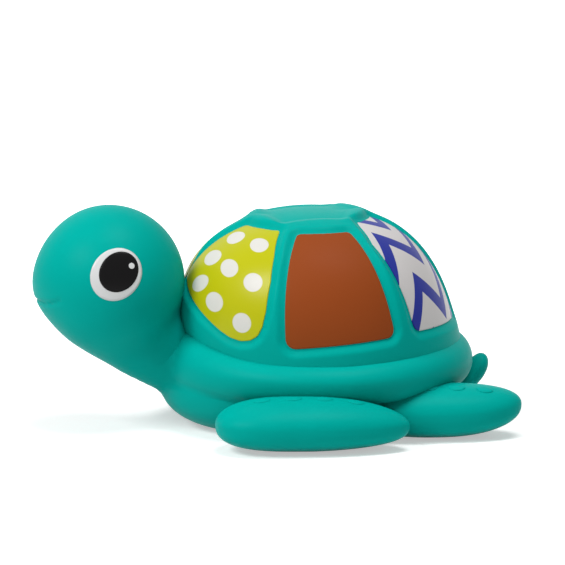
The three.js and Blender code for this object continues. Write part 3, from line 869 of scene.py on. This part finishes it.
def belly_skin():
    foot = np.zeros((FOOT_ROWS, 2))
    foot[:, 0] = np.linspace(FOOT_MIDDLE_R, BELLY_FLAT_R, FOOT_ROWS + 1)[:-1]
    bowl_half = (BELLY_R - BELLY_FLAT_R, BELLY_TOP_Z)
    bowl = arc((BELLY_FLAT_R, BELLY_TOP_Z), bowl_half, start=-90, end=-4, steps=26)
    roll_half = (RIM_ROLL, RIM_HALF_HEIGHT)
    roll = arc((RIM_R - RIM_ROLL, RIM_Z), roll_half, start=-89, end=100, steps=64)
    profile = np.vstack([foot, bowl, roll])
    turn = np.linspace(0, 2 * math.pi, BELLY_COLUMNS, endpoint=False)
    rim, turn = np.meshgrid(profile[:, 0], turn, indexing="ij")
    z = np.repeat(profile[:, 1][:, None], BELLY_COLUMNS, 1)
    front, rear = np.clip(np.cos(turn), 0, 1), np.clip(-np.cos(turn), 0, 1)
    in_roll = (np.arange(len(profile)) >= len(foot) + len(bowl))[:, None]
    in_foot = (np.arange(len(profile)) < len(foot))[:, None]
    bowl_wall = bowl_radius(z, front)
    rim_wall = rim + RIM_FRONT_REACH * front**RIM_REACH_NARROWING
    rim_wall = rim_wall - RIM_REAR_TUCK * rear**RIM_TUCK_NARROWING
    stretch = 1 + CHEST_REACH / BELLY_R * front**CHEST_NARROWING
    wall = np.where(in_roll, -soft_union(-rim_wall, -bowl_wall, RIM_FILLET), bowl_wall)
    wall = np.where(in_foot, rim * stretch, wall)
    lift = RIM_SIDE_LIFT + (RIM_FRONT_LIFT - RIM_SIDE_LIFT) * front**FRONT_LIFT_NARROWING
    lift = lift + (RIM_REAR_LIFT - RIM_SIDE_LIFT) * rear**REAR_LIFT_NARROWING
    z = np.where(z > RIM_Z, RIM_Z + (z - RIM_Z) * (1 + lift), z)
    return with_collar(wall, turn, z)


points, faces = closed_skin(belly_skin())
make_piece("belly", points, faces, teal_vinyl, "shell", ["belly_hull"], "teal_vinyl")

# %% [markdown]
# ## The eyes
# Each eye is printed in three thin layers of ink: an oval white, a black pupil that sits to the upper
# back of it, and a small round glint. A flat disc would cut into the ball, so each layer follows the
# head's own surface and stands just proud of it.

# %% Eye layers
EYE_AT = np.array([-0.6, -23.0, 5.7])
EYE_TILT = math.radians(48)
EYE_HALF = (9.1, 7.9)
PUPIL_HALF = (6.9, 5.8)
PUPIL_SHIFT = (0.85, 0.8)
GLINT_R = 0.95
GLINT_SHIFT = (4.0, 1.7)
INK_STEP = 0.06
INK_BURIED = -0.3
EYE_SPOKES = 96
EYE_RINGS = 12


def eye_skin(half, shift, proud):
    """Rings of points on the head, from a layer's middle to its edge, and a last one sunk into it."""
    out = EYE_AT / np.linalg.norm(EYE_AT)
    wide = np.cross((0, 0, 1), out)
    wide /= np.linalg.norm(wide)
    up = np.cross(out, wide)
    turn = np.linspace(0, 2 * math.pi, EYE_SPOKES, endpoint=False)
    cosine, sine = math.cos(EYE_TILT), math.sin(EYE_TILT)
    oval = np.stack([half[0] * np.cos(turn), half[1] * np.sin(turn)], -1)
    oval = oval @ np.array([[cosine, sine], [-sine, cosine]])
    rings = [(share, proud) for share in np.linspace(1 / EYE_RINGS, 1, EYE_RINGS)]
    rows = []
    for share, lift in [*rings, (1.0, INK_BURIED)]:
        flat = np.array(shift) + oval * share
        direction = out * HEAD_R + flat[:, :1] * wide + flat[:, 1:] * up
        direction /= np.linalg.norm(direction, axis=1)[:, None]
        rows.append(HEAD_AT + direction * (head_radius(direction) + lift)[:, None])
    return closed_skin(np.array(rows))


glint_shift = (PUPIL_SHIFT[0] + GLINT_SHIFT[0], PUPIL_SHIFT[1] + GLINT_SHIFT[1])
layers = [
    ("white", EYE_HALF, (0, 0), eye_white_ink, "eye_white"),
    ("pupil", PUPIL_HALF, PUPIL_SHIFT, eye_black_ink, "eye_black"),
    ("glint", (GLINT_R, GLINT_R), glint_shift, eye_white_ink, "eye_white"),
]
for order, (layer, half, shift, material, slot) in enumerate(layers):
    points, faces = eye_skin(half, shift, INK_STEP * (order + 1))
    make_pair(f"eye_{layer}", "_ink", points, faces, material, "head", slot)

# %% [markdown]
# ## Flippers
# The flippers are swollen lobes, tucked under the rim. They could be sculpted one by one, but a single
# rule fits all four, and a group of geometry nodes can hold it. A ball is stretched to three
# half-sizes, made blunter at its ends and underneath, and fuller towards the head. Named inputs give
# each flipper its own sizes, and the finished mesh is taken from the evaluated object.


# %% Helpers for geometry groups
def new_group(name, result, inputs):
    """A geometry group with one output and named inputs, and its tree."""
    group = bpy.data.node_groups.new(name, "GeometryNodeTree")
    group.interface.new_socket(result, in_out="OUTPUT", socket_type="NodeSocketGeometry")
    for title, kind in inputs.items():
        group.interface.new_socket(title, in_out="INPUT", socket_type=f"NodeSocket{kind}")
    return group, Tree(group)


def round_ball(tree, segments, rings):
    ball = tree.add("GeometryNodeMeshUVSphere")
    ball.inputs["Segments"].default_value = segments
    ball.inputs["Rings"].default_value = rings
    return ball.outputs["Mesh"]


def finish_group(tree, geometry, material):
    """The end of a geometry group: real faces, shaded smooth, with their finish."""
    real = tree.add("GeometryNodeRealizeInstances")
    soft = tree.add("GeometryNodeSetShadeSmooth")
    dressed = tree.add("GeometryNodeSetMaterial")
    dressed.inputs["Material"].default_value = material
    tree.join(geometry, real.inputs[0])
    tree.join(real.outputs[0], soft.inputs[0])
    tree.join(soft.outputs[0], dressed.inputs[0])
    tree.join(dressed.outputs[0], tree.add("NodeGroupOutput").inputs[0])


# %% Lobe rule
LOBE_NUMBERS = [
    "Half Length", "Half Width", "Half Height", "Tip Lift",
    "Yaw", "Taper", "Front Blunt", "Rear Blunt", "Under Blunt",
]
LOBE_SEGMENTS = 96
LOBE_RINGS = 90
LOBE_THINNING = 0.4


def power(tree, value, exponent):
    """A value raised to a power, with its sign kept."""
    grown = tree.math("POWER", tree.math("ABSOLUTE", value), exponent)
    return tree.math("MULTIPLY", tree.math("SIGN", value), grown)


def choose(tree, first_if, first, second):
    """The first value where first_if is 1, and the second where it is 0."""
    return tree.math("MULTIPLY_ADD", first_if, tree.math("SUBTRACT", first, second), second)


def lobe_place(tree, given):
    """Where each point of a ball goes on the lobe, by the named inputs."""
    at = tree.add("ShaderNodeSeparateXYZ")
    tree.join(tree.add("GeometryNodeInputPosition").outputs[0], at.inputs[0])
    x, y, z = at.outputs
    blunt = choose(tree, tree.math("LESS_THAN", x, 0.0), given["Front Blunt"], given["Rear Blunt"])
    length = tree.math("MULTIPLY", power(tree, x, blunt), given["Half Length"])
    narrow = tree.math("SUBTRACT", 1.0, tree.math("MULTIPLY", x, given["Taper"]))
    width = tree.math("MULTIPLY", tree.math("MULTIPLY", y, given["Half Width"]), narrow)
    under = choose(tree, tree.math("LESS_THAN", z, 0.0), given["Under Blunt"], 1.0)
    height = tree.math("MULTIPLY", power(tree, z, under), given["Half Height"])
    thin = tree.math("MULTIPLY_ADD", narrow, LOBE_THINNING, 1 - LOBE_THINNING)
    height = tree.math("MULTIPLY", height, tree.math("MINIMUM", thin, 1.0))
    rearward = tree.math("POWER", tree.math("MAXIMUM", x, 0.0), 2.0)
    height = tree.math("ADD", height, tree.math("MULTIPLY", rearward, given["Tip Lift"]))
    place = tree.add("ShaderNodeCombineXYZ")
    for value, socket in zip((length, width, height), place.inputs):
        tree.join(value, socket)
    return place.outputs[0]


def lobe_group():
    """A ball drawn out to a lobe, turned by its yaw and set in its place."""
    inputs = {"Place": "Vector", **dict.fromkeys(LOBE_NUMBERS, "Float")}
    group, tree = new_group("flipper_lobe", "Lobe", inputs)
    given = tree.add("NodeGroupInput").outputs
    lying = tree.add("GeometryNodeTransform")
    lying.inputs["Rotation"].default_value = (0, math.pi / 2, 0)
    tree.join(round_ball(tree, LOBE_SEGMENTS, LOBE_RINGS), lying.inputs["Geometry"])
    moved = tree.add("GeometryNodeSetPosition")
    tree.join(lying.outputs[0], moved.inputs["Geometry"])
    tree.join(lobe_place(tree, given), moved.inputs["Position"])
    turn = tree.add("ShaderNodeCombineXYZ")
    tree.join(given["Yaw"], turn.inputs["Z"])
    placed = tree.add("GeometryNodeTransform")
    tree.join(moved.outputs[0], placed.inputs["Geometry"])
    tree.join(given["Place"], placed.inputs["Translation"])
    tree.join(turn.outputs[0], placed.inputs["Rotation"])
    finish_group(tree, placed.outputs[0], teal_vinyl)
    return group


# %% [markdown]
# A group is run by a modifier on an empty object. Its inputs are set by their sockets' identifiers, and
# the result is copied to a plain mesh, so that nothing has to be evaluated later.


# %% Grown pieces
def grown_mesh(name, group, values):
    """The mesh that a geometry group makes with these inputs."""
    holder = bpy.data.objects.new(name, bpy.data.meshes.new(name))
    scene.collection.objects.link(holder)
    modifier = holder.modifiers.new("rule", "NODES")
    modifier.node_group = group
    for item in group.interface.items_tree:
        if item.in_out == "INPUT":
            modifier[item.identifier] = values[item.name]
    evaluated = holder.evaluated_get(bpy.context.evaluated_depsgraph_get())
    mesh = bpy.data.meshes.new_from_object(evaluated)
    holder.modifiers.remove(modifier)
    bpy.data.objects.remove(holder)
    mesh.name = name
    return mesh


def mesh_points(mesh):
    """The points of a mesh in millimetres, and its faces."""
    points = np.empty(len(mesh.vertices) * 3)
    mesh.vertices.foreach_get("co", points)
    return points.reshape(-1, 3) / MM, [tuple(face.vertices) for face in mesh.polygons]


# %% Four flippers
FRONT_LOBE = {
    "Place": (-11 * MM, -47.6 * MM, 8.4 * MM), "Yaw": math.radians(-8),
    "Half Length": 29.4 * MM, "Half Width": 13.65 * MM, "Half Height": 8.1 * MM,
    "Tip Lift": -0.8 * MM, "Taper": 0.2,
    "Front Blunt": 0.62, "Rear Blunt": 0.96, "Under Blunt": 0.74,
}
REAR_LOBE = {
    "Place": (30 * MM, -33 * MM, 8.5 * MM), "Yaw": math.radians(-6),
    "Half Length": 26.3 * MM, "Half Width": 12.6 * MM, "Half Height": 8.2 * MM,
    "Tip Lift": 1.8 * MM, "Taper": 0.06,
    "Front Blunt": 0.85, "Rear Blunt": 0.82, "Under Blunt": 0.75,
}
lobe_rule = lobe_group()
for place, sizes in (("front", FRONT_LOBE), ("rear", REAR_LOBE)):
    points, faces = mesh_points(grown_mesh(f"lobe_{place}", lobe_rule, sizes))
    make_pair(f"flipper_{place}", "_lobe", points, faces, teal_vinyl, "shell", "teal_vinyl")

# %% [markdown]
# A row of low oval spots is moulded on top of each flipper. They could be set down by eye, but a second
# group of nodes finds the surface by itself: a line of points falls on the lobe, and a flat ball is put
# on each of them, turned to the surface.

# %% Spot rule
SPOT_SEGMENTS = 40
SPOT_RINGS = 20


def fallen_points(tree, given, lobe):
    """A line of points that falls on a lobe. Each keeps the way out of the surface."""
    line = tree.add("GeometryNodeMeshLine")
    for title, socket in (("Count", "Count"), ("First", "Start Location"), ("Step", "Offset")):
        tree.join(given[title], line.inputs[socket])
    below = tree.add("GeometryNodeObjectInfo")
    below.inputs["Object"].default_value = lobe
    fall = tree.add("GeometryNodeRaycast")
    tree.join(below.outputs["Geometry"], fall.inputs["Target Geometry"])
    fall.inputs["Ray Direction"].default_value = (0, 0, -1)
    kept = tree.add("GeometryNodeStoreNamedAttribute", data_type="FLOAT_VECTOR")
    kept.inputs["Name"].default_value = "outward"
    tree.join(line.outputs[0], kept.inputs["Geometry"])
    tree.join(fall.outputs["Hit Normal"], kept.inputs["Value"])
    landed = tree.add("GeometryNodeSetPosition")
    tree.join(kept.outputs[0], landed.inputs["Geometry"])
    tree.join(fall.outputs["Hit Position"], landed.inputs["Position"])
    return landed.outputs[0]


def spot_group(lobe):
    """Flat balls on a line of points that falls on a lobe."""
    vectors = dict.fromkeys(("First", "Step", "Half Sizes"), "Vector")
    group, tree = new_group("moulded_spots", "Spots", {"Count": "Int", **vectors})
    given = tree.add("NodeGroupInput").outputs
    outward = tree.add("GeometryNodeInputNamedAttribute", data_type="FLOAT_VECTOR")
    outward.inputs["Name"].default_value = "outward"
    aligned = tree.add("FunctionNodeAlignRotationToVector", axis="Z")
    tree.join(outward.outputs[0], aligned.inputs["Vector"])
    spread = tree.add("GeometryNodeInstanceOnPoints")
    tree.join(fallen_points(tree, given, lobe), spread.inputs["Points"])
    tree.join(round_ball(tree, SPOT_SEGMENTS, SPOT_RINGS), spread.inputs["Instance"])
    tree.join(aligned.outputs[0], spread.inputs["Rotation"])
    tree.join(given["Half Sizes"], spread.inputs["Scale"])
    finish_group(tree, spread.outputs[0], teal_vinyl)
    return group


# %% Moulded spots
SPOT_HALF = (2.6, 1.9, 0.36)
FALL_FROM_Z = 30
SPOT_ROWS = {
    "front": {"Count": 4, "First": (-26.5, -47.5, FALL_FROM_Z), "Step": (9.4, -1.2, 0)},
    "rear": {"Count": 3, "First": (27, -37, FALL_FROM_Z), "Step": (8.5, -0.9, 0)},
}
for place, row in SPOT_ROWS.items():
    lobe = bpy.data.objects[f"flipper_{place}_left_lobe"]
    values = {"Count": row["Count"]}
    lengths = {"First": row["First"], "Step": row["Step"], "Half Sizes": SPOT_HALF}
    for name, triple in lengths.items():
        values[name] = tuple(length * MM for length in triple)
    points, faces = mesh_points(grown_mesh(f"spots_{place}", spot_group(lobe), values))
    stem = f"flipper_{place}"
    make_pair(stem, "_spots", points, faces, teal_vinyl, "shell", "teal_vinyl", redraws=False)

# %% [markdown]
# ## The tail
# The tail is a small tongue that bends upwards behind the rim. A curve with a bevel could make it, but
# its ends would need caps. Here a ball is drawn out along a bend, which rounds both ends by itself.

# %% Tail
TAIL_ROOT = np.array([36.0, 0, 8])
TAIL_BEND = np.array([47.8, 0, 8.6])
TAIL_TIP = np.array([51.7, 0, 19.6])
TAIL_HALF_WIDTH = 4.6
TAIL_HALF_THICK = 3.3
TAIL_BLUNT = 0.48
TAIL_ROWS = 40
TAIL_COLUMNS = 48


def ball_grid(rows, columns):
    """Points of a ball whose rows run from -X to +X."""
    polar = np.linspace(math.pi, 0, rows + 2)[1:-1]
    turn = np.linspace(0, 2 * math.pi, columns, endpoint=False)
    polar, turn = np.meshgrid(polar, turn, indexing="ij")
    return np.cos(polar), np.sin(polar) * np.cos(turn), np.sin(polar) * np.sin(turn)


def tail_skin():
    x, y, z = ball_grid(TAIL_ROWS, TAIL_COLUMNS)
    share = ((np.sign(x) * np.abs(x) ** TAIL_BLUNT + 1) / 2)[..., None]
    at = (1 - share) ** 2 * TAIL_ROOT + 2 * share * (1 - share) * TAIL_BEND + share**2 * TAIL_TIP
    along = (1 - share) * (TAIL_BEND - TAIL_ROOT) + share * (TAIL_TIP - TAIL_BEND)
    along /= np.linalg.norm(along, axis=-1)[..., None]
    across = np.stack([-along[..., 2], 0 * along[..., 0], along[..., 0]], -1)
    skin = at + across * (z * TAIL_HALF_THICK)[..., None]
    skin[..., 1] = y * TAIL_HALF_WIDTH
    return closed_skin(skin)


points, faces = tail_skin()
make_piece("tail_tongue", points, faces, teal_vinyl, "shell", ["tail"], "teal_vinyl")

# %% [markdown]
# ## The stopper
# The drain stopper under the belly is a small soft plug. Its drawn solid is already fine, so it only
# gets its finish.

# %% Stopper finish
STOPPER_WHITE = linear(205, 212, 210)

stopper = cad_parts["drain_stopper"]
stopper.data.materials.clear()
stopper.data.materials.append(vinyl("stopper_vinyl", STOPPER_WHITE, roughness=0.5))
print("stopper finish:", stopper.data.materials[0].name)

# %% [markdown]
# ## Floor, light and camera
# The photograph is a catalogue picture on a white sweep. A curved backdrop could be built, but a wide
# floor and a white sky look the same through a long lens. The floor adds a little of its own light for
# the camera, more of it farther out, so that it turns white while the soft shadow under the toy stays.

# %% Floor
FLOOR_HALF = 6.0
FLOOR_GREY = 0.78
FLOOR_ROUGHNESS = 0.9
FLOOR_GLOW_NEAR = 0.46
FLOOR_GLOW_FAR = 1.0
GLOW_FROM = 0.06
GLOW_TO = 0.3


def seen_directly(tree):
    """1 for rays from the camera, in a reflection or through something clear, else 0."""
    ray = tree.add("ShaderNodeLightPath")
    seen = tree.math("MAXIMUM", ray.outputs["Is Camera Ray"], ray.outputs["Is Glossy Ray"])
    return tree.math("MAXIMUM", seen, ray.outputs["Is Transmission Ray"])


def floor_finish():
    tree = Finish("white_sweep")
    tree.shader.inputs["Base Color"].default_value = (FLOOR_GREY, FLOOR_GREY, FLOOR_GREY, 1)
    tree.shader.inputs["Roughness"].default_value = FLOOR_ROUGHNESS
    tree.shader.inputs["Specular IOR Level"].default_value = 0.0
    length = tree.add("ShaderNodeVectorMath", operation="LENGTH")
    tree.join(tree.add("ShaderNodeTexCoord").outputs["Object"], length.inputs[0])
    level = tree.add("ShaderNodeMapRange", interpolation_type="SMOOTHSTEP")
    tree.join(length.outputs["Value"], level.inputs["Value"])
    level.inputs["From Min"].default_value = GLOW_FROM
    level.inputs["From Max"].default_value = GLOW_TO
    level.inputs["To Min"].default_value = FLOOR_GLOW_NEAR
    level.inputs["To Max"].default_value = FLOOR_GLOW_FAR
    strength = tree.math("MULTIPLY", seen_directly(tree), level.outputs["Result"])
    glow = tree.add("ShaderNodeEmission")
    tree.join(strength, glow.inputs["Strength"])
    both = tree.add("ShaderNodeAddShader")
    tree.join(tree.shader.outputs[0], both.inputs[0])
    tree.join(glow.outputs[0], both.inputs[1])
    tree.join(both.outputs[0], tree.nodes["Material Output"].inputs["Surface"])
    return tree.material


square = [(-1, -1, 0), (1, -1, 0), (1, 1, 0), (-1, 1, 0)]
floor_mesh = bpy.data.meshes.new("floor")
floor_mesh.from_pydata((np.array(square) * FLOOR_HALF).tolist(), [], [(0, 1, 2, 3)])
floor_mesh.materials.append(floor_finish())
floor = bpy.data.objects.new("floor", floor_mesh)
scene.collection.objects.link(floor)
floor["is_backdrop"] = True
print("floor:", 2 * FLOOR_HALF, "m wide")

# %% Sky
SKY_LEVEL = 0.22

world = bpy.data.worlds.new("studio")
scene.world = world
world.use_nodes = True
sky = Tree(world.node_tree)
background = sky.nodes["Background"]
background.inputs["Color"].default_value = (1, 1, 1, 1)
strength = sky.math("MULTIPLY_ADD", seen_directly(sky), 1 - SKY_LEVEL, SKY_LEVEL)
sky.join(strength, background.inputs["Strength"])
print("sky level:", SKY_LEVEL)

# %% [markdown]
# Two broad lamps light the toy: a key lamp from the upper front of the turtle, and a weaker one from
# above. Both are large discs, because the shadow in the photograph has no hard edge.

# %% Lamps
AIM = Vector((-0.01, 0, 0.03))
LAMP_SIZE = 0.6


def soft_lamp(name, place, watts):
    lamp = bpy.data.lights.new(name, "AREA")
    lamp.shape = "DISK"
    lamp.size = LAMP_SIZE
    lamp.energy = watts
    holder = bpy.data.objects.new(name, lamp)
    holder.location = place
    holder.rotation_euler = (AIM - Vector(place)).to_track_quat("-Z", "Y").to_euler()
    scene.collection.objects.link(holder)
    holder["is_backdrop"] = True
    print("lamp:", name, watts, "W")


soft_lamp("key", (-0.98, -0.48, 0.95), 13)
soft_lamp("top", (0.15, -0.2, 1.25), 9.5)

# %% [markdown]
# The camera looks at the turtle's left side, ten degrees towards its face and eleven degrees down. It
# could be moved until the picture fits, but here its place follows from where the origin lies in the
# picture and from how many pixels a millimetre takes.

# %% Camera
PICTURE_PIXELS = 565
PIXELS_PER_MM = 3.2
ORIGIN_PIXEL = (321, 420)
CAMERA_TURN = math.radians(-10)
CAMERA_RISE = math.radians(11)
CAMERA_FAR = 1500 * MM
SEEN_TO = 20

back = Vector((
    math.sin(CAMERA_TURN) * math.cos(CAMERA_RISE),
    -math.cos(CAMERA_TURN) * math.cos(CAMERA_RISE),
    math.sin(CAMERA_RISE),
))
right = Vector((math.cos(CAMERA_TURN), math.sin(CAMERA_TURN), 0))
up = back.cross(right)
lens = bpy.data.cameras.new("camera")
lens.sensor_width = 36
lens.lens = lens.sensor_width * CAMERA_FAR / (PICTURE_PIXELS / PIXELS_PER_MM * MM)
lens.shift_x = (PICTURE_PIXELS / 2 - ORIGIN_PIXEL[0]) / PICTURE_PIXELS
lens.shift_y = (ORIGIN_PIXEL[1] - PICTURE_PIXELS / 2) / PICTURE_PIXELS
lens.clip_end = SEEN_TO
camera = bpy.data.objects.new("camera", lens)
camera.matrix_world = Matrix((right, up, back)).transposed().to_4x4()
camera.location = back * CAMERA_FAR
scene.collection.objects.link(camera)
scene.camera = camera
scene.view_settings.view_transform = "Standard"
print("camera:", [round(value, 3) for value in camera.location], "focal length", round(lens.lens))

# %% [markdown]
# The last cell prints the sizes of the drawing and of the dressed model.

# %% Sizes and finish
visual_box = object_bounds()
sizes = {"cad": [list(corner) for corner in cad_box], "visual": [list(corner) for corner in visual_box]}
print("sizes:", sizes)
